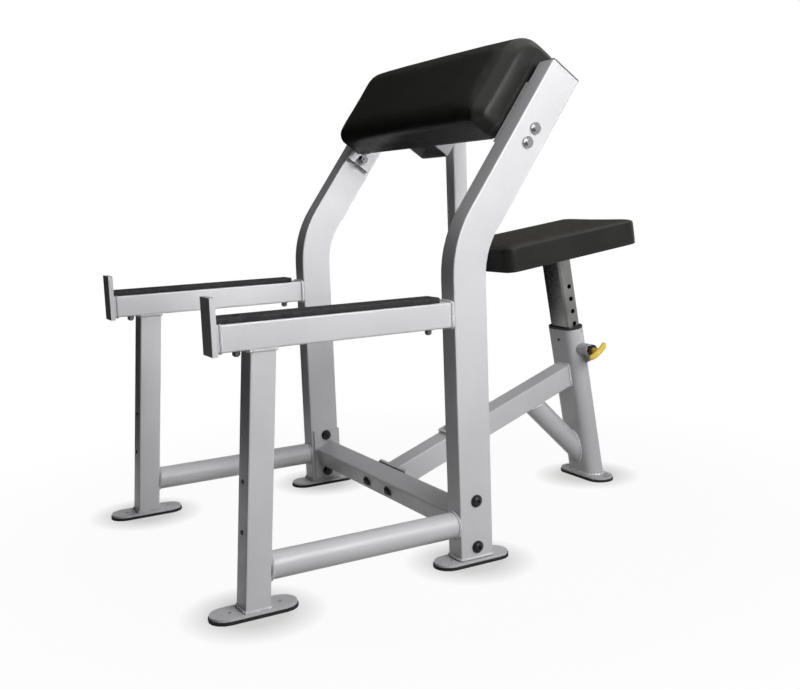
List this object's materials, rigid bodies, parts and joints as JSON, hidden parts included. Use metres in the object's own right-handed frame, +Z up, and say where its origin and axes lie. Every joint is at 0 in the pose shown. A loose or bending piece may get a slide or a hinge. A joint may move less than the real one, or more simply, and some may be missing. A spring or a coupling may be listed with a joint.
{
  "type": "preacher bench",
  "caption": "Seated arm-curl bench: sloped arm pad between two bent uprights, bar rests with rubber strips in front, and a seat that slides on a pinned post.",
  "frame": {"origin": "floor level, in the middle of the bench's outline seen from above", "axes": "+X to the right seen from the front, +Y from the bar rests towards the seat, +Z up; the user faces -Y"},
  "size_m": [0.7812, 1.1976, 1.044],
  "materials": {
    "frame_paint": "satin",
    "foot_rubber": "matte",
    "strip_rubber": "matte",
    "vinyl": "satin",
    "chrome": "polished",
    "black_steel": "gloss",
    "zinc": "satin",
    "black_plastic": "matte",
    "yellow_plastic": "gloss"
  },
  "bodies": {
    "frame": {"foot_pad_front_left": "foot_rubber", "foot_pad_front_right": "foot_rubber", "foot_pad_upright_left": "foot_rubber", "foot_pad_upright_right": "foot_rubber", "foot_pad_rear": "foot_rubber", "foot_plate_front_left": "frame_paint", "foot_plate_front_right": "frame_paint", "foot_plate_upright_left": "frame_paint", "foot_plate_upright_right": "frame_paint", "foot_plate_rear": "frame_paint", "front_leg_left": "frame_paint", "front_leg_right": "frame_paint", "rail_left": "frame_paint", "rail_right": "frame_paint", "rail_lip_left": "frame_paint", "rail_lip_right": "frame_paint", "bar_strip_left": "strip_rubber", "bar_strip_right": "strip_rubber", "lower_tube_left": "frame_paint", "lower_tube_right": "frame_paint", "upright_left": "frame_paint", "upright_right": "frame_paint", "lower_end_plate_left": "frame_paint", "lower_end_plate_right": "frame_paint", "upper_crossbar_left": "frame_paint", "upper_crossbar_right": "frame_paint", "strip_bolt_left_front": "zinc", "strip_bolt_left_rear": "zinc", "strip_bolt_right_front": "zinc", "strip_bolt_right_rear": "zinc", "frame_bolt_left_low": "black_steel", "frame_bolt_left_high": "black_steel", "frame_bolt_right_low": "black_steel", "frame_bolt_right_high": "black_steel", "pad_frame_bolt_left_low": "chrome", "pad_frame_bolt_left_high": "chrome", "pad_frame_bolt_right_low": "chrome", "pad_frame_bolt_right_high": "chrome", "spine_bolt_left": "black_steel", "spine_bolt_right": "black_steel", "middle_post_bolt_front": "black_steel", "middle_post_bolt_rear": "black_steel", "lower_crossmember": "frame_paint", "pad_bracket": "frame_paint", "middle_post": "frame_paint", "spine": "frame_paint", "brace": "frame_paint", "rear_tube": "frame_paint", "tube_sleeve": "black_plastic", "pin_barrel": "frame_paint", "pin_nut": "black_plastic", "pin_spring": "zinc", "arm_pad_board": "vinyl", "arm_pad_cushion": "vinyl"},
    "seat": {"seat_post": "chrome", "seat_mount_plate": "frame_paint", "seat_board": "vinyl", "seat_cushion": "vinyl"},
    "pull_pin": {"pin_plunger": "zinc", "pin_handle": "yellow_plastic"}
  },
  "joints": [
    {"name": "seat_slide", "type": "slide", "parent": "frame", "child": "seat", "axis": [0, -0.1599, 0.9871], "range_m": [-0.1575, 0.0315]},
    {"name": "pin_pull", "type": "slide", "parent": "frame", "child": "pull_pin", "axis": [1, 0, 0], "range_m": [0, 0.012], "stiffness_N_per_m": 900, "springref_m": -0.01, "deforming": ["pin_spring"]}
  ]
}
